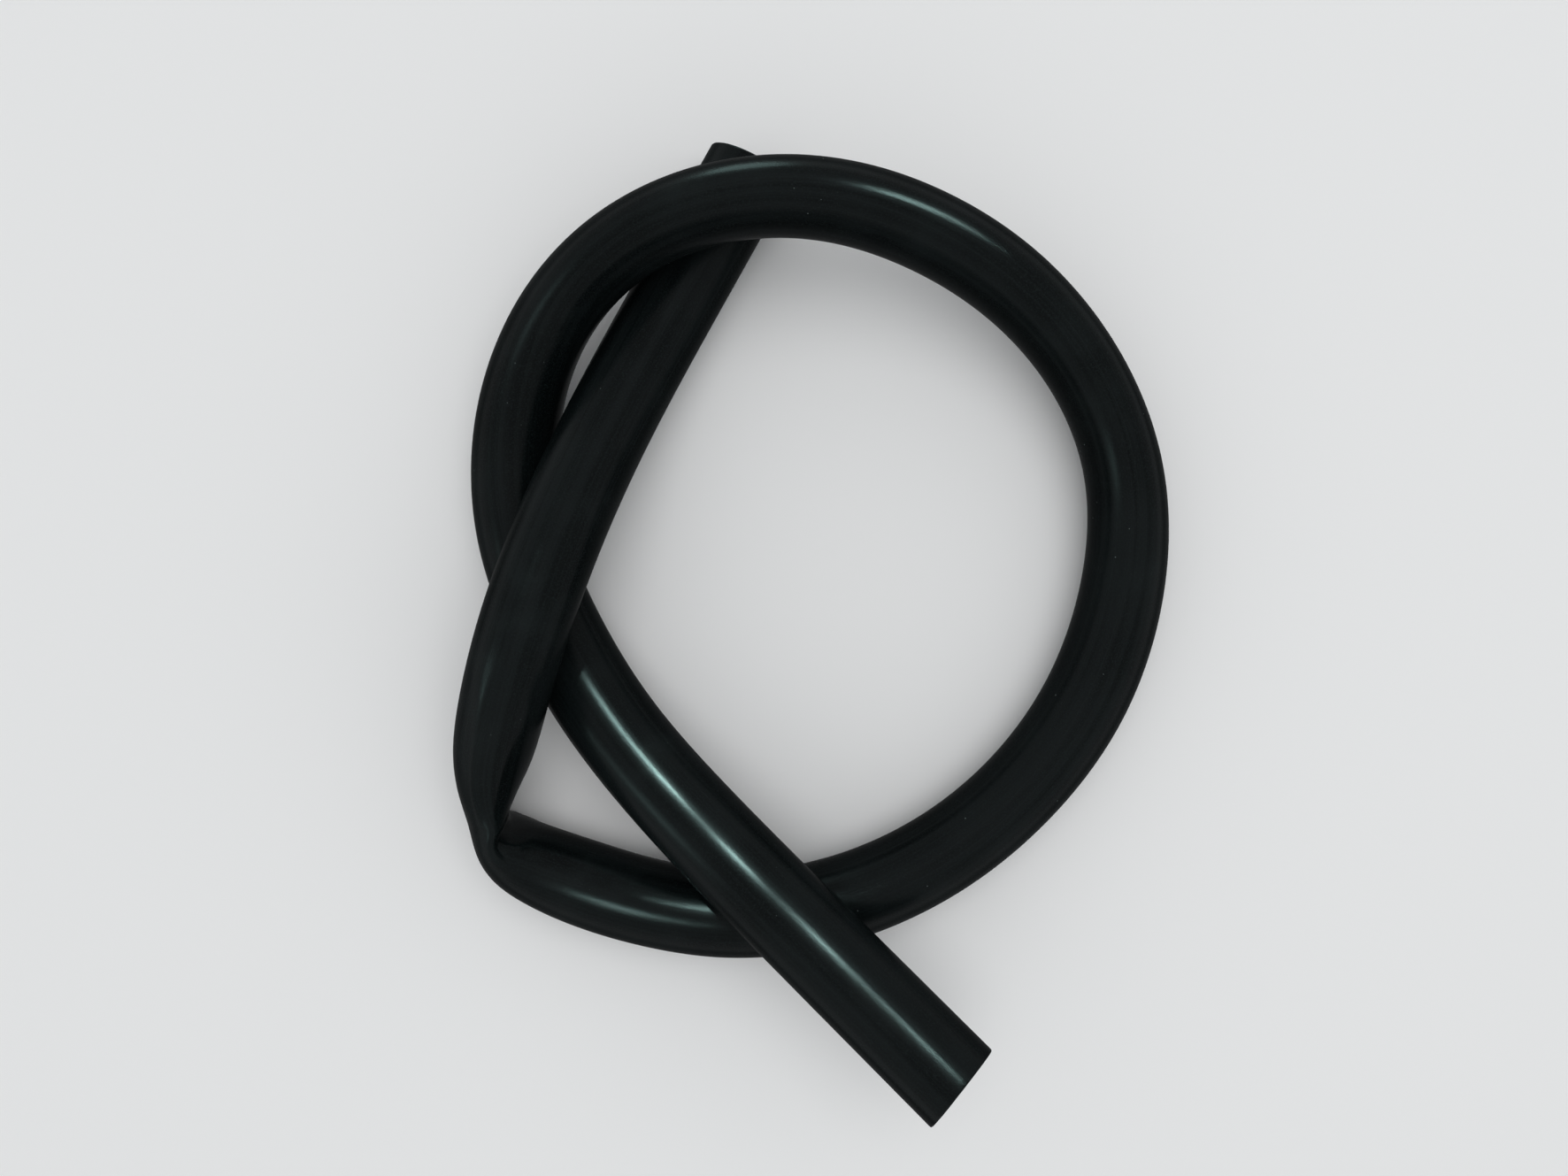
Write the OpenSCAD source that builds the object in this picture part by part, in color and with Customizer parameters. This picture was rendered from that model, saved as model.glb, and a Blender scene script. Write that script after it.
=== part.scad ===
// A soaker hose: one length of soft extruded hose, both ends cut square, lying
// on a flat surface in a loose overhand knot with one kink in it.
// Millimetres. X and Y run across the surface, Z is up and Z = 0 is the surface.
// The origin is under the middle of the knot's outline.
//
// The hose is one piece of rubber. It is drawn as stretches that meet face to
// face, so that its two ends keep true round bores and each bend stays simple.

/* [Hose] */
// Outside diameter of the hose where nothing bends or presses it
hose_d = 16; // [15:0.5:16]
// Diameter of the bore that carries the water
bore_d = 12; // [9:0.5:12.5]

/* [Fineness] */
// Sides around a swept stretch
sides = 16; // [12:4:20]
// Rings along each span between two route points
rings_per_span = 2; // [2:1:3]
// Rings along each span of the kink
kink_rings_per_span = 3; // [3:1:5]
// Facets of the round ends
round_fn = 64; // [32:16:96]

/* [Hidden] */

wall = (hose_d - bore_d) / 2;
hose_color = [0.07, 0.08, 0.08];
bore_overrun = 1;

// The route of the hose, from the raised open end to the end tucked under the
// crown. Each point is [x, y, lift, width]: lift is how high the underside is
// held above the surface, and width is how wide the hose measures from above,
// as a share of hose_d. The curve is the uniform cubic B-spline of the points,
// which passes near them, and their spacing closes up at the kink.
route = [
    [24, -79, 22, 1], [8, -63.75, 19, 1], [-8, -48.5, 16, 1],
    [-22.5, -35, 11, 1], [-36, -21.5, 4, 1], [-46.5, -6, 0, 1.03],
    [-54.5, 12.5, 0, 1], [-55.5, 32.5, 0, 0.97], [-49, 50.5, 4.5, 0.86],
    [-35.5, 62.5, 14, 0.77], [-18, 69, 19, 0.78], [0.5, 70.5, 17.5, 0.81],
    [18, 67, 12.5, 0.86], [35, 58.5, 7.5, 0.86], [49, 44.5, 3, 0.82],
    [57.5, 26, 0.5, 0.84], [57.5, 5, 0, 0.92], [51, -16, 0, 0.96],
    [38.5, -33, 0, 0.93], [22.5, -46, 0, 0.95], [4, -54, 0, 0.97],
    [-14, -56.5, 0, 0.97], [-29.5, -54, 0, 0.97], [-41, -50.5, 0, 0.98],
    [-49.5, -47, 0, 0.91], [-55.5, -43.5, 0, 0.76], [-59, -39, 0, 0.28],
    [-59, -33, 1.5, 0.6], [-57, -25, 7, 0.9], [-53.5, -14.5, 14, 0.94],
    [-49.5, -2.5, 18, 0.96], [-45, 11.5, 15.5, 0.97], [-40, 26, 8.5, 0.98],
    [-33, 42.5, 2, 1], [-22.25, 62, 1, 1], [-11.5, 81.5, 0, 1]
];
last = len(route) - 1;

// The outline's middle, measured in the route's own coordinates
middle = [0.27, 0.27];

// One more point past each end, in line with the end's last two, so the curve
// starts and stops on the route's first and last points and is straight there
padded = concat([2 * route[0] - route[1]], route, [2 * route[last] - route[last - 1]]);

function blend4(a, b, c, d, t) =
    (a * pow(1 - t, 3) + b * (3 * pow(t, 3) - 6 * t * t + 4)
     + c * (3 * t * t + 3 * t + 1 - 3 * pow(t, 3)) + d * pow(t, 3)) / 6;

// Route values [x, y, lift, width] at u, where u counts route points from 0
function route_at(u) =
    let (k = min(floor(u), last - 1), t = u - k)
    blend4(padded[k], padded[k + 1], padded[k + 2], padded[k + 3], t);

// The wall keeps its length around, so a hose squeezed across stands taller
function tall(width) = sqrt(2 - width * width);

function centre_at(u) =
    let (p = route_at(u))
    [p[0] - middle[0], p[1] - middle[1], p[2] + hose_d / 2 * tall(p[3])];

function unit(v) = v / norm(v);

du = 0.001;
function heading_at(u) =
    unit(centre_at(min(u + du, last)) - centre_at(max(u - du, 0)));

// One ring of the oval section at u, drawn in by inset from the outside
function ring(u, inset) =
    let (c = centre_at(u), heading = heading_at(u),
         side = unit(cross(heading, [0, 0, 1])), up = cross(side, heading),
         width = route_at(u)[3],
         half_w = hose_d / 2 * width - inset, half_h = hose_d / 2 * tall(width) - inset)
    [for (i = [0 : sides - 1])
        c + half_w * cos(360 * i / sides) * side + half_h * sin(360 * i / sides) * up];

// Two triangles for each cell of a wall swept through count rings
function wall_faces(first, count, inward) =
    [for (r = [0 : count - 2], i = [0 : sides - 1])
        let (j = (i + 1) % sides,
             a = first + r * sides + i, b = first + r * sides + j,
             c = a + sides, d = b + sides)
        each (inward ? [[a, b, d], [a, d, c]] : [[a, d, b], [a, c, d]])];

// The flat ring of rubber between the outer and inner walls at a cut
function cut_faces(outer, inner, start) =
    [for (i = [0 : sides - 1])
        let (j = (i + 1) % sides,
             a = outer + i, b = outer + j, c = inner + i, d = inner + j)
        each (start ? [[a, b, d], [a, d, c]] : [[a, d, b], [a, c, d]])];

// A hollow stretch of hose swept from u0 to u1
module stretch(u0, u1, per_span) {
    count = round((u1 - u0) * per_span) + 1;
    us = [for (i = [0 : count - 1]) u0 + (u1 - u0) * i / (count - 1)];
    outer = [for (u = us) each ring(u, 0)];
    inner = [for (u = us) each ring(u, wall)];
    inner_first = count * sides;
    end_ring = (count - 1) * sides;
    polyhedron(
        points = concat(outer, inner),
        faces = concat(
            wall_faces(0, count, false), wall_faces(inner_first, count, true),
            cut_faces(0, inner_first, true),
            cut_faces(end_ring, inner_first + end_ring, false)));
}

// A straight round end of the hose with its true bore, from one point to another
module round_end(from, to) {
    along = to - from;
    length = norm(along);
    translate(from)
        rotate([0, acos(along[2] / length), atan2(along[1], along[0])])
            difference() {
                cylinder(d = hose_d, h = length, $fn = round_fn);
                translate([0, 0, -bore_overrun])
                    cylinder(d = bore_d, h = length + 2 * bore_overrun, $fn = round_fn);
            }
}

// The cut end that sticks up clear of the surface
module open_end() { color(hose_color) round_end(centre_at(0), centre_at(1)); }
// Lies over the lower arc
module over_strand() { color(hose_color) stretch(1, 4, rings_per_span); }
// Lies on the surface under the climbing strand
module pinned_strand() { color(hose_color) stretch(4, 7, rings_per_span); }
module left_arc() { color(hose_color) stretch(7, 9, rings_per_span); }
// Lies over the tucked end
module crown_arc() { color(hose_color) stretch(9, 12, rings_per_span); }
module right_arc() { color(hose_color) stretch(12, 16, rings_per_span); }
module return_arc() { color(hose_color) stretch(16, 20, rings_per_span); }
// Lies on the surface under the over strand
module lower_arc() { color(hose_color) stretch(20, 24, rings_per_span); }
// The sharp fold at the lower left
module kink() { color(hose_color) stretch(24, 28, kink_rings_per_span); }
// Rises out of the kink and lies over the pinned strand
module climbing_strand() { color(hose_color) stretch(28, 31, rings_per_span); }
module tail_strand() { color(hose_color) stretch(31, last - 1, rings_per_span); }
// The cut end that lies under the crown arc
module tucked_end() { color(hose_color) round_end(centre_at(last), centre_at(last - 1)); }

open_end();
over_strand();
pinned_strand();
left_arc();
crown_arc();
right_arc();
return_arc();
lower_arc();
kink();
climbing_strand();
tail_strand();
tucked_end();
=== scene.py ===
"""Soaker hose: one soft black extruded hose in a loose overhand knot, on a pale floor.

Lengths are in metres unless a comment says mm, and the frame is the CAD model's: Z = 0 is the
surface that the hose lies on, and the origin is under the middle of the knot.
"""
import math

import bpy
import numpy as np
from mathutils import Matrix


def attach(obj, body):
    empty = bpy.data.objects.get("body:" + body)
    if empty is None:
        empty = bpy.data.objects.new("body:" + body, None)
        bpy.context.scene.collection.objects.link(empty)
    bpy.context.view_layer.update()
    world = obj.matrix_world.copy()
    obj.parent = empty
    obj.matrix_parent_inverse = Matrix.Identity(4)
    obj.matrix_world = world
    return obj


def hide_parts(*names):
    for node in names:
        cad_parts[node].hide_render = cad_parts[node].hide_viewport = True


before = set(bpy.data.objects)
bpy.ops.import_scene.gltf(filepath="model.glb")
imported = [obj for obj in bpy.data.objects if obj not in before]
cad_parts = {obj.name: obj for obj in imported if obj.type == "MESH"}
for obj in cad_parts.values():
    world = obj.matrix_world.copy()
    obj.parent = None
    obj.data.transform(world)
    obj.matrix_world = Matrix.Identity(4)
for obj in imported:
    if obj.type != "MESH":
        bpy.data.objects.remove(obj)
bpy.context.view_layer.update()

MM = 0.001

# ---------------------------------------------------------------- sizes

HOSE_D = 16 * MM
WALL = 2 * MM
SIDES = 128  # round the hose
RINGS_PER_SPAN = 16  # along the hose, between two route points
KINK_RINGS_PER_SPAN = 40
KINK_SPAN = (24, 29)
FOLD_AT = 26  # the route point where the hose is folded
BORE_RING_STEP = 4  # the bore's wall takes every fourth ring
LIP = 0.35 * MM  # how far the knife-cut ends are eased
LIP_TURNS = (0.15, 0.5, 0.85)  # where a lip's rings lie on its quarter turn
LIP_ROWS = (0.3, 0.6, 0.9)  # and in the unrolled coordinates, as shares of LIP

# The route repeats the CAD model's: [x, y, lift, width] in mm, where lift is the height of
# the underside, and width is the hose's width from above as a share of its diameter.
MIDDLE_MM = (0.27, 0.27)
ROUTE = [
    [24, -79, 22, 1], [8, -63.75, 19, 1], [-8, -48.5, 16, 1],
    [-22.5, -35, 11, 1], [-36, -21.5, 4, 1], [-46.5, -6, 0, 1.03],
    [-54.5, 12.5, 0, 1], [-55.5, 32.5, 0, 0.97], [-49, 50.5, 4.5, 0.86],
    [-35.5, 62.5, 14, 0.77], [-18, 69, 19, 0.78], [0.5, 70.5, 17.5, 0.81],
    [18, 67, 12.5, 0.86], [35, 58.5, 7.5, 0.86], [49, 44.5, 3, 0.82],
    [57.5, 26, 0.5, 0.84], [57.5, 5, 0, 0.92], [51, -16, 0, 0.96],
    [38.5, -33, 0, 0.93], [22.5, -46, 0, 0.95], [4, -54, 0, 0.97],
    [-14, -56.5, 0, 0.97], [-29.5, -54, 0, 0.97], [-41, -50.5, 0, 0.98],
    [-49.5, -47, 0, 0.91], [-55.5, -43.5, 0, 0.76], [-59, -39, 0, 0.28],
    [-59, -33, 1.5, 0.6], [-57, -25, 7, 0.9], [-53.5, -14.5, 14, 0.94],
    [-49.5, -2.5, 18, 0.96], [-45, 11.5, 15.5, 0.97], [-40, 26, 8.5, 0.98],
    [-33, 42.5, 2, 1], [-22.25, 62, 1, 1], [-11.5, 81.5, 0, 1],
]
LAST = len(ROUTE) - 1

# How far each knife cut leans, in mm along the hose: [at its top, at its inner side].
OPEN_CUT = [1.5, 0.7]
TUCKED_CUT = [0.6, -0.45]
CUT_FADE = 12 * MM  # the lean fades out over this length

KINK_REACH = 45 * MM  # no ridge or crease goes further from the fold
BORE_RELIEF = 0.6  # how much of them shows on the bore's wall
SMOOTH_REACH = 12 * MM  # the skin is smoothed this near to the fold
SMOOTH_PASSES = 4
SMOOTH_SHARE = 0.5  # how far each pass takes a point towards its neighbours' mean

# Ridges and creases of the kink: [mm past the fold, degrees round from the inner side,
# height mm, half-width mm].
KINK_STROKES = [
    # the crest, which runs down the rising strand and over the fold
    [[27, 58, 0, 1.8], [22, 62, 0.3, 1.6], [16.3, 66, 0.45, 1.4], [10.9, 73, 0.5, 1.3],
     [4.5, 85, 0.45, 1.3], [-0.3, 90, 0.4, 1.4], [-4, 92, 0.3, 1.7], [-9, 92, 0, 2]],
    # a softer ridge on the outer wall
    [[34, 106, 0, 1.8], [30.3, 104, 0.25, 1.6], [22.4, 99, 0.4, 1.4], [15.7, 97, 0.4, 1.3],
     [9.3, 99, 0.3, 1.2], [5, 106, 0, 1.2]],
    # the crease, from the sharp inner corner over the top and round behind the crest
    [[0, 0, 0, 1.2], [-0.1, 18, -0.5, 1.2], [-0.2, 48, -1, 1.2], [-1.6, 68, -0.9, 1.2],
     [-3.9, 77, -0.5, 1.3], [-7.5, 76, 0, 1.6]],
    # the pinched fold of wall beside it
    [[-1.6, 44, 0, 1.1], [-3, 50, 0.35, 1.2], [-4.8, 50, 0.4, 1.3], [-6.8, 38, 0.25, 1.4],
     [-9, 28, 0, 1.6]],
]

# ---------------------------------------------------------------- camera

CAMERA_AT = (-5.77 * MM, 3.73 * MM, 235.2 * MM)  # straight above, looking down
LENS = 28.44  # on a 36 mm sensor


def make_camera():
    data = bpy.data.cameras.new("camera")
    data.lens = LENS
    data.sensor_width = 36
    data.clip_start = 0.01
    camera = bpy.data.objects.new("camera", data)
    camera.location = CAMERA_AT
    bpy.context.collection.objects.link(camera)
    bpy.context.scene.camera = camera


make_camera()

# ---------------------------------------------------------------- the hose's line


def route_values(u):
    """[x, y, lift, width] at each u, counted in route points: a uniform cubic B-spline."""
    route = np.array(ROUTE, float)
    first, final = 2 * route[0] - route[1], 2 * route[-1] - route[-2]
    padded = np.vstack([first, route, final])
    k = np.minimum(u.astype(int), LAST - 1)
    t = (u - k)[:, None]
    return (
        padded[k] * (1 - t) ** 3
        + padded[k + 1] * (3 * t**3 - 6 * t**2 + 4)
        + padded[k + 2] * (3 * t**2 + 3 * t + 1 - 3 * t**3)
        + padded[k + 3] * t**3
    ) / 6


def tall(width):
    """The wall keeps its length around, so a hose squeezed across stands taller."""
    return np.sqrt(2 - width**2)


def unit(v):
    return v / np.linalg.norm(v, axis=-1, keepdims=True)


def hose_line(u):
    """Centre, heading, side (towards the inside of the bends), up and width at each u."""
    values = route_values(u)
    width = values[:, 3]
    centre = np.column_stack([
        values[:, 0] * MM - MIDDLE_MM[0] * MM,
        values[:, 1] * MM - MIDDLE_MM[1] * MM,
        values[:, 2] * MM + HOSE_D / 2 * tall(width),
    ])
    heading = unit(np.gradient(centre, u, axis=0))
    side = unit(np.cross(heading, [0, 0, 1]))
    return centre, heading, side, np.cross(side, heading), width


def lengths_along(centre):
    """How far along the hose each point of its middle line is."""
    steps = np.linalg.norm(np.diff(centre, axis=0), axis=1)
    return np.concatenate([[0], np.cumsum(steps)])


def hose_rows():
    """Where the rings go, in route points: closer together round the kink."""
    start, end = KINK_SPAN
    return np.concatenate([
        np.arange(0, start, 1 / RINGS_PER_SPAN),
        np.arange(start, end, 1 / KINK_RINGS_PER_SPAN),
        np.arange(end, LAST + 1e-9, 1 / RINGS_PER_SPAN),
    ])


# ---------------------------------------------------------------- the kink


def bump(x, reach):
    """1 where x is zero, falling smoothly to nearly nothing at twice the reach."""
    return np.exp(-((x / reach) ** 2))


def kink_section(along, fold):
    """How the section changes near the fold: inner and outer half-width to add, the lean of
    its top towards the inside of the bend, and how square its shoulders are."""
    away = along - fold
    swell = 0.2 * MM * bump(away - 3.5 * MM, 2.5 * MM)
    hollow = 0.35 * MM * bump(away + 2.5 * MM, 2 * MM)
    inner = swell - hollow
    outer = 0.3 * MM * bump(away, 6 * MM)
    lean = 2.8 * MM * bump(away - 3 * MM, np.where(away > 3 * MM, 9 * MM, 4.5 * MM))
    square = 2 + 0.3 * bump(away, 9 * MM)
    return inner, outer, lean, square


def stroke_height(along, angle, points):
    """The rise of one ridge, or the depth of one groove where it is negative, at each ring
    and angle. Its points are [mm past the fold, degrees round, height mm, half-width mm]."""
    height = np.zeros((len(along), len(angle)))
    nearest = np.full_like(height, 1e9)
    x = along[:, None]
    for p, q in zip(points, points[1:]):
        p, q = np.array(p, float), np.array(q, float)
        start = np.array([p[0], math.radians(p[1]) * HOSE_D / 2 / MM])
        step = np.array([q[0], math.radians(q[1]) * HOSE_D / 2 / MM]) - start
        y = angle[None, :] * HOSE_D / 2 / MM
        t = ((x - start[0]) * step[0] + (y - start[1]) * step[1]) / (step @ step)
        t = np.clip(t, 0, 1)
        gap = np.hypot(x - start[0] - t * step[0], y - start[1] - t * step[1])
        rise = (p[2] + t * (q[2] - p[2])) * np.exp(-((gap / (p[3] + t * (q[3] - p[3]))) ** 2))
        height = np.where(gap < nearest, rise, height)
        nearest = np.minimum(gap, nearest)
    return height


def kink_relief(along, fold, angle):
    """Ridges and creases of the kink, in metres out from the section. The folded wall has
    the same ones underneath."""
    relief = np.zeros((len(along), len(angle)))
    near = np.abs(along - fold) < KINK_REACH
    past = (along[near] - fold) / MM
    folded = np.abs((angle + math.pi) % (2 * math.pi) - math.pi)
    for points in KINK_STROKES:
        relief[near] += stroke_height(past, folded, points) * MM
    return relief


# ---------------------------------------------------------------- the hose's mesh


def cut_slant(along, angle):
    """How far each end's knife cut strays from square, along the hose at each ring and
    angle. It fades out away from the ends."""
    slant = np.zeros((len(along), len(angle)))
    for distance, top, side, sign in (
        (along, *OPEN_CUT, 1), (along[-1] - along, *TUCKED_CUT, -1)
    ):
        fade = np.clip(1 - distance / CUT_FADE, 0, 1)
        fade = fade * fade * (3 - 2 * fade)
        tilt = top * np.sin(angle) + side * np.cos(angle)
        slant += sign * fade[:, None] * tilt[None, :] * MM
    return slant


def hose_skin(u, angle, inset):
    """The hose's surface at each ring and angle, as far inside its outside as asked."""
    centre, heading, side, up, width = hose_line(u)
    along = lengths_along(centre)
    fold = np.interp(FOLD_AT, u, along)
    inner, outer, lean, square = kink_section(along, fold)
    c, s = np.cos(angle)[None, :], np.sin(angle)[None, :]
    power = 2 / square[:, None]
    x, y = np.sign(c) * np.abs(c) ** power, np.sign(s) * np.abs(s) ** power
    across = np.where(c > 0, inner[:, None], outer[:, None])
    across = across + (HOSE_D / 2 * width)[:, None]
    high = (HOSE_D / 2 * tall(width))[:, None]
    relief = kink_relief(along, fold, angle) * (1 if inset == 0 else BORE_RELIEF)
    normal = unit(np.stack([x / across, y / high], axis=-1))
    across_at = (across - inset) * x + lean[:, None] * np.maximum(y, 0) ** 1.5
    across_at = across_at + relief * normal[..., 0]
    high_at = (high - inset) * y + relief * normal[..., 1]
    slant = cut_slant(along, angle)
    skin = (
        centre[:, None]
        + across_at[..., None] * side[:, None]
        + high_at[..., None] * up[:, None]
        + slant[..., None] * heading[:, None]
    )
    return relax(skin, bump(along - fold, SMOOTH_REACH))


def relax(skin, amount):
    """Smooths the skin where amount is near 1, so that no fold has a broken edge."""
    amount = amount[:, None, None]
    for _ in range(SMOOTH_PASSES):
        mean = (np.roll(skin, 1, 1) + np.roll(skin, -1, 1)) / 4
        mean[1:-1] += (skin[2:] + skin[:-2]) / 4
        mean[0], mean[-1] = skin[0], skin[-1]
        skin = skin + SMOOTH_SHARE * amount * (mean - skin)
    return skin


def lip_rings(wall, centre, sign, heading):
    """The rings of one eased lip, from its wall to the cut face. They turn towards the
    hose's centre where sign is -1, as the outside does, and away from it where it is 1."""
    away = unit(wall - centre)
    rings = []
    for turn in LIP_TURNS:
        a = turn * math.pi / 2
        step = LIP * ((1 - math.cos(a)) * sign * away + math.sin(a) * heading)
        rings.append(wall - LIP * heading + step)
    return rings


def end_rings(outer, bore, heading):
    """Rings across one cut end, from the outside in: eased lips with a flat face between."""
    centre = bore.mean(axis=0)
    outer_lip = lip_rings(outer, centre, -1, heading)
    bore_lip = lip_rings(bore, centre, 1, heading)
    return [*outer_lip, *bore_lip[::-1]]


def closed_quads(ring_count):
    """Four corners for each cell of a wall that closes both round the hose and end to end."""
    ring, place = np.meshgrid(np.arange(ring_count), np.arange(SIDES), indexing="ij")
    next_ring, next_place = (ring + 1) % ring_count, (place + 1) % SIDES
    return np.stack([
        ring * SIDES + place, ring * SIDES + next_place,
        next_ring * SIDES + next_place, next_ring * SIDES + place,
    ], axis=-1).reshape(-1, 4)


def build_hose():
    """The hose, its middle line and how far along it each point of that line is."""
    u = hose_rows()
    centre, heading, _, _, _ = hose_line(u)
    angle = np.linspace(0, 2 * math.pi, SIDES, endpoint=False)
    outer = hose_skin(u, angle, 0)
    bore = hose_skin(u, angle, WALL)[::BORE_RING_STEP]
    out_of_open_end, out_of_tucked_end = -heading[0], heading[-1]
    open_face = end_rings(outer[0], bore[0], out_of_open_end)
    tucked_face = end_rings(outer[-1], bore[-1], out_of_tucked_end)
    # The last ring at each end of the walls draws back to where the eased lip starts.
    for wall in (outer, bore):
        wall[0] -= LIP * out_of_open_end
        wall[-1] -= LIP * out_of_tucked_end
    # One closed loop of rings: along the outside, over the tucked end, back up the bore
    # and out over the open end.
    rings = [*outer, *tucked_face, *bore[::-1], *open_face[::-1]]
    quads = closed_quads(len(rings))
    mesh = bpy.data.meshes.new("hose")
    mesh.from_pydata(np.concatenate(rings).tolist(), [], quads.tolist())
    mesh.shade_smooth()
    # The second material is the flat strip between the two lips of each cut face.
    cut = np.zeros(len(quads), np.int32)
    for face_start in (len(outer), len(rings) - len(open_face)):
        flat = face_start + len(LIP_TURNS) - 1
        cut[flat * SIDES:(flat + 1) * SIDES] = 1
    mesh.polygons.foreach_set("material_index", cut)
    along = lengths_along(centre)
    add_coordinates(mesh, along)
    obj = bpy.data.objects.new("hose", mesh)
    bpy.context.collection.objects.link(obj)
    return obj, centre, along


def add_coordinates(mesh, along):
    """Unrolled coordinates in metres for the materials, kept on each corner so that no
    material is stretched by a bend: x along the hose, y round it."""
    lip = [LIP * share for share in LIP_ROWS]
    face = np.array([*lip, *[LIP + WALL + place for place in lip]])
    rows = np.concatenate([
        along,
        along[-1] + face,
        (along[-1] + 2 * LIP + WALL) + (along[-1] - along[::BORE_RING_STEP][::-1]),
        -face[::-1],
    ])
    points = np.empty(len(mesh.loops), np.int32)
    mesh.loops.foreach_get("vertex_index", points)
    ring, place = np.divmod(points.reshape(-1, 4), SIDES)
    # The last strip round the hose ends at a whole turn instead of going back to zero.
    wraps = (place.max(axis=1) == SIDES - 1) & (place.min(axis=1) == 0)
    place = place + np.where(wraps[:, None] & (place == 0), SIDES, 0)
    uv = np.stack([rows[ring], place / SIDES * math.pi * HOSE_D], axis=-1)
    layer = mesh.uv_layers.new(name="unrolled")
    layer.data.foreach_set("uv", uv.reshape(-1).astype(np.float32))


hose, line, along = build_hose()
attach(hose, "root")
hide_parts(*[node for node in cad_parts])

# ---------------------------------------------------------------- materials

IOR = 1.45
SHINE = 0.1  # the specular level of the satin skin
CUT_SHINE = 0.2  # and of the knife-cut ends

# Base colours: the skin's darkest and lightest patches, its pale bloom, a cut and dust
DARK = (0.0018, 0.0028, 0.003)
LIGHT = (0.0056, 0.0074, 0.0078)
BLOOM = (0.0085, 0.0125, 0.0125)
CUT = (0.012, 0.0145, 0.0145)
DUST = (0.16, 0.2, 0.19)

RANGE_INPUTS = ("From Min", "From Max", "To Min", "To Max")


def new_material(name, shine):
    """A material and its shader, with that specular level."""
    material = bpy.data.materials.new(name)
    material.use_nodes = True
    shader = material.node_tree.nodes["Principled BSDF"]
    shader.inputs["Specular IOR Level"].default_value = shine
    return material, shader


def node(material, kind, **values):
    """A new node, with its settings by name and its inputs by "in_" and their names."""
    made = material.node_tree.nodes.new(kind)
    for key, value in values.items():
        if key.startswith("in_"):
            made.inputs[key[3:].replace("_", " ")].default_value = value
        else:
            setattr(made, key, value)
    return made


def math_node(material, operation, first, second, clamp=False):
    """The result of one operation; first and second are sockets or plain numbers."""
    made = node(material, "ShaderNodeMath", operation=operation, use_clamp=clamp)
    for socket, value in zip(made.inputs, (first, second)):
        if isinstance(value, (int, float)):
            socket.default_value = value
        else:
            material.node_tree.links.new(value, socket)
    return made.outputs[0]


def ramp(material, value, low, high, to_low=0.0, to_high=1.0):
    """A smooth step from one value to another, as the value given rises from low to high."""
    made = node(material, "ShaderNodeMapRange", interpolation_type="SMOOTHSTEP")
    for name, number in zip(RANGE_INPUTS, (low, high, to_low, to_high)):
        made.inputs[name].default_value = number
    material.node_tree.links.new(value, made.inputs["Value"])
    return made.outputs["Result"]


def add_up(material, total, *parts):
    """The total with each part added, where a part is a mask and the amount of it."""
    for mask, amount in parts:
        weighted = math_node(material, "MULTIPLY", mask, amount)
        total = math_node(material, "ADD", total, weighted)
    return total


def unrolled(material, along, across):
    """The hose's own coordinates, in repeats per metre along it and round it."""
    links = material.node_tree.links
    coords = node(material, "ShaderNodeUVMap", uv_map="unrolled")
    mapping = node(material, "ShaderNodeMapping", in_Scale=(along, across, 1))
    links.new(coords.outputs["UV"], mapping.inputs["Vector"])
    return mapping.outputs["Vector"]


def in_space(material):
    """The frame's own coordinates."""
    return node(material, "ShaderNodeTexCoord").outputs["Object"]


def noise(material, vector, scale, detail=2.0, roughness=0.5):
    made = node(
        material, "ShaderNodeTexNoise", in_Scale=scale, in_Detail=detail, in_Roughness=roughness
    )
    material.node_tree.links.new(vector, made.inputs["Vector"])
    return made.outputs["Fac"]


def specks(material, scale, size, share):
    """1 inside small round specks, each in its own cell of space; only that share of the
    cells has one."""
    links = material.node_tree.links
    cells = node(material, "ShaderNodeTexVoronoi", feature="F1", in_Scale=scale)
    links.new(in_space(material), cells.inputs["Vector"])
    parts = node(material, "ShaderNodeSeparateColor")
    links.new(cells.outputs["Color"], parts.inputs["Color"])
    near = ramp(material, cells.outputs["Distance"], size * scale * 0.6, size * scale, 1, 0)
    chosen = math_node(material, "LESS_THAN", parts.outputs["Red"], share)
    return math_node(material, "MULTIPLY", near, chosen)


def mix_colour(material, factor, first, second):
    """From the first colour to the second as the factor rises from 0 to 1."""
    made = node(material, "ShaderNodeMix", data_type="RGBA")
    links = material.node_tree.links
    links.new(factor, made.inputs["Factor"])
    colour_sockets = (made.inputs[6], made.inputs[7])
    for socket, value in zip(colour_sockets, (first, second)):
        if isinstance(value, tuple):
            socket.default_value = (*value, 1)
        else:
            links.new(value, socket)
    return made.outputs[2]


def add_bump(material, shader, height, strength, distance):
    links = material.node_tree.links
    bump_node = node(material, "ShaderNodeBump", in_Strength=strength, in_Distance=distance)
    links.new(height, bump_node.inputs["Height"])
    links.new(bump_node.outputs["Normal"], shader.inputs["Normal"])


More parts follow.
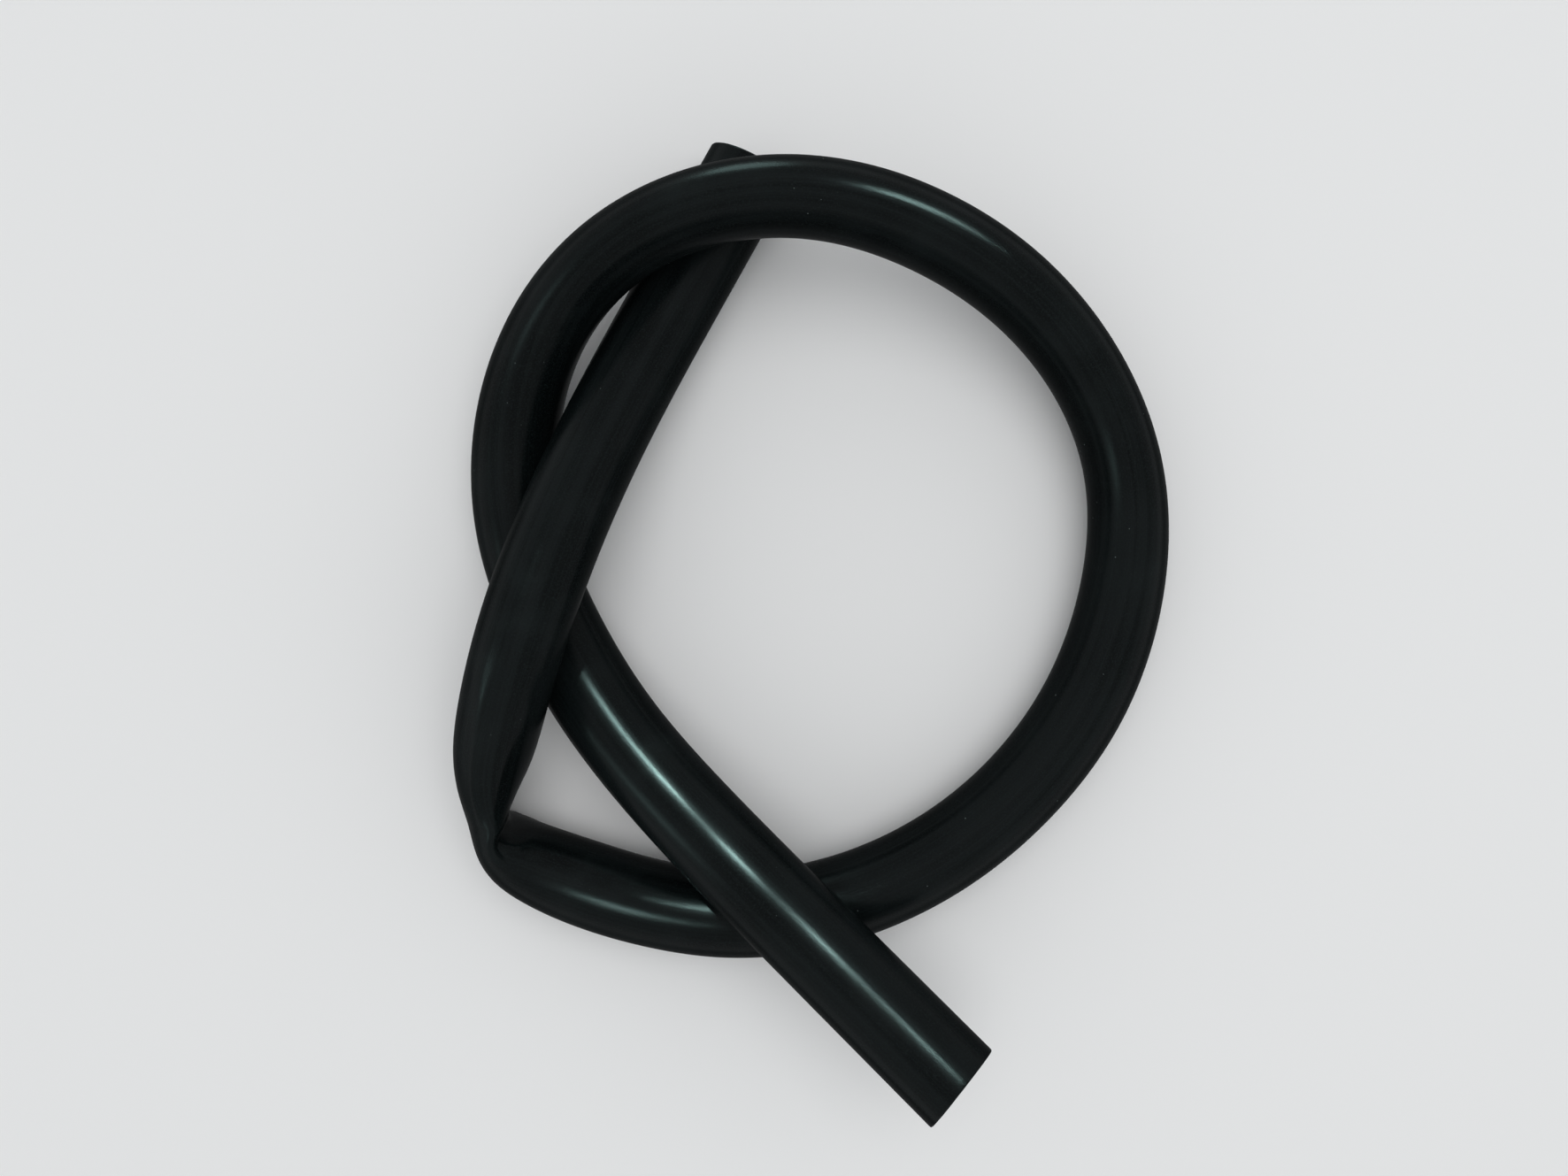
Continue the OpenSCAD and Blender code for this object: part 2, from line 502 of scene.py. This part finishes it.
def rubber():
    """Satin black extruded rubber: die lines along the hose, a fine grain, a patchy bloom,
    rubbed marks and a few pale specks of dust."""
    material, shader = new_material("black_rubber", SHINE)
    links = material.node_tree.links
    shader.inputs["IOR"].default_value = IOR

    space = in_space(material)
    patches = noise(material, space, 38, 3, 0.55)
    bloom = ramp(material, noise(material, space, 75, 4, 0.6), 0.52, 0.78)
    die_lines = noise(material, unrolled(material, 9, 2600), 1, 3, 0.6)
    broad_lines = noise(material, unrolled(material, 5, 420), 1, 2, 0.5)
    rubs = ramp(material, noise(material, unrolled(material, 260, 900), 1, 3, 0.6), 0.68, 0.8)
    grain = noise(material, space, 3600, 2, 0.6)
    dust = math_node(
        material, "MULTIPLY", specks(material, 420, 0.00014, 0.3),
        ramp(material, noise(material, space, 22, 2), 0.38, 0.6),
    )
    flecks = specks(material, 95, 0.00026, 0.05)
    pale = math_node(material, "ADD", dust, flecks, clamp=True)

    banded = math_node(material, "ADD", patches, broad_lines)
    tone = mix_colour(material, ramp(material, banded, 0.8, 1.2), DARK, LIGHT)
    for mask, amount, colour in (
        (bloom, 0.45, BLOOM),
        (ramp(material, die_lines, 0.45, 0.75), 0.4, BLOOM),
        (ramp(material, grain, 0.45, 0.75), 0.7, BLOOM),
        (pale, 0.5, DUST),
    ):
        factor = math_node(material, "MULTIPLY", mask, amount)
        tone = mix_colour(material, factor, tone, colour)
    links.new(tone, shader.inputs["Base Color"])

    rough = add_up(
        material, ramp(material, broad_lines, 0.3, 0.7, 0.19, 0.24),
        (die_lines, 0.05), (bloom, 0.07), (rubs, 0.1), (pale, 0.35),
    )
    links.new(rough, shader.inputs["Roughness"])

    height = add_up(
        material, math_node(material, "MULTIPLY", die_lines, 0.6),
        (grain, 0.9), (broad_lines, 0.9), (pale, 1.5),
    )
    add_bump(material, shader, height, 0.35, 0.00004)
    return material


def cut_rubber():
    """The knife-cut ends: the same rubber, matt and a little greyer, with fine knife lines."""
    material, shader = new_material("cut_rubber", CUT_SHINE)
    links = material.node_tree.links
    shader.inputs["IOR"].default_value = IOR
    mapping = node(material, "ShaderNodeMapping", in_Scale=(300, 300, 6000))
    links.new(in_space(material), mapping.inputs["Vector"])
    knife = noise(material, mapping.outputs["Vector"], 1, 3, 0.6)
    pores = noise(material, in_space(material), 5200, 2, 0.6)
    tone = mix_colour(material, ramp(material, knife, 0.35, 0.7), DARK, CUT)
    tone = mix_colour(material, ramp(material, pores, 0.62, 0.8, 0, 0.6), tone, BLOOM)
    links.new(tone, shader.inputs["Base Color"])
    links.new(ramp(material, knife, 0.3, 0.7, 0.5, 0.68), shader.inputs["Roughness"])
    height = add_up(material, knife, (pores, 0.5))
    add_bump(material, shader, height, 0.5, 0.00008)
    return material


hose.data.materials.append(rubber())
hose.data.materials.append(cut_rubber())

# ---------------------------------------------------------------- floor

FLOOR_SIZE = 12


def floor_material():
    material, shader = new_material("pale_floor", 0)
    shader.inputs["Base Color"].default_value = (0.9, 0.9, 0.9, 1)
    shader.inputs["Roughness"].default_value = 0.9
    return material


def make_floor():
    bpy.ops.mesh.primitive_plane_add(size=FLOOR_SIZE, location=(0, 0, 0))
    floor = bpy.context.object
    floor.name = "floor"
    floor.data.materials.append(floor_material())
    floor.visible_glossy = False  # the shine shows the world's dark lower half instead


make_floor()

# ---------------------------------------------------------------- light

LAMP_AWAY = 1.25  # how far the round lamps stand from the middle of the knot
SNOOT_AWAY = 0.5  # and the snooted ones from what they light
SNOOT_EDGE = 0.5  # how much of a snoot's circle fades out
COOL = (0.64, 1, 0.96)  # the lamps that are seen in the shine are a little green


def place_lamp(name, data, azimuth, zenith, distance, aim=(0, 0, 0)):
    """Puts a lamp that far from the point in mm that it is aimed at, in a direction in
    degrees: azimuth round from +X, and zenith down from straight above."""
    a, z = math.radians(azimuth), math.radians(zenith)
    lamp = bpy.data.objects.new(name, data)
    lamp.location = (
        aim[0] * MM + distance * math.sin(z) * math.cos(a),
        aim[1] * MM + distance * math.sin(z) * math.sin(a),
        aim[2] * MM + distance * math.cos(z),
    )
    lamp.rotation_euler = (0, z, a)
    lamp.visible_camera = False
    bpy.context.collection.objects.link(lamp)
    return lamp


def make_light(name, azimuth, zenith, size, watts, gloss_only=False):
    """A soft round lamp: either one that lights the floor and the shadows, or a gloss-only
    one, which is seen in the hose's shine."""
    data = bpy.data.lights.new(name, "AREA")
    data.shape = "DISK"
    data.size = size
    data.energy = watts
    data.color = COOL if gloss_only else (1, 1, 1)
    lamp = place_lamp(name, data, azimuth, zenith, LAMP_AWAY)
    lamp.visible_diffuse = not gloss_only
    lamp.visible_glossy = gloss_only


def make_snoot(name, azimuth, zenith, aim, reach, radius, watts):
    """A small gloss-only lamp with a snoot, which lights a circle of that reach in mm round
    its aim, also in mm. The lamp's own radius is in metres."""
    data = bpy.data.lights.new(name, "SPOT")
    data.spot_size = 2 * math.atan(reach * MM / SNOOT_AWAY)
    data.spot_blend = SNOOT_EDGE
    data.shadow_soft_size = radius
    data.energy = watts
    data.color = COOL
    lamp = place_lamp(name, data, azimuth, zenith, SNOOT_AWAY, aim)
    lamp.visible_diffuse = False


def make_world():
    """Even pale light from above and from the sides, and dark below the floor, which only
    the shine sees: with light from there too, the hose would have wide pale edges."""
    world = bpy.data.worlds.new("studio")
    world.use_nodes = True
    tree = world.node_tree
    background = tree.nodes["Background"]
    background.inputs["Color"].default_value = (0.97, 0.99, 1, 1)
    direction = tree.nodes.new("ShaderNodeTexCoord")
    parts = tree.nodes.new("ShaderNodeSeparateXYZ")
    height = tree.nodes.new("ShaderNodeMapRange")
    for name, number in zip(RANGE_INPUTS, (-0.3, -0.1, 0.1, 0.6)):
        height.inputs[name].default_value = number
    tree.links.new(direction.outputs["Generated"], parts.inputs["Vector"])
    tree.links.new(parts.outputs["Z"], height.inputs["Value"])
    tree.links.new(height.outputs["Result"], background.inputs["Strength"])
    bpy.context.scene.world = world


make_light("soft", 60, 8, 1.2, 5)
# The rest are seen only in the shine: two from the sides, and a snoot for each bright stretch.
make_light("low", 96, 82, 0.5, 4, gloss_only=True)
make_light("left", 200, 62, 0.3, 1.1, gloss_only=True)
make_snoot("over_open_end", 37, 21, (16, -69, 36), 14, 0.012, 4.3)
make_snoot("over_long_strand", 59, 20, (0, -54, 33), 14, 0.012, 8)
make_snoot("over_long_strand_middle", 95, 26, (-14, -41, 29), 11, 0.01, 13)
make_snoot("over_crossing", 108, 38, (-26, -29, 24), 13, 0.012, 15)
make_snoot("over_pinned_strand", 101, 34, (-37, -18, 19), 10, 0.01, 6)
make_snoot("over_crown", 29, 44, (15, 67, 31), 10, 0.012, 15)
make_snoot("over_lower_arc", 244, 19, (-35, -53, 16), 12, 0.012, 4.5)
make_world()
bpy.context.scene.view_settings.view_transform = "Standard"
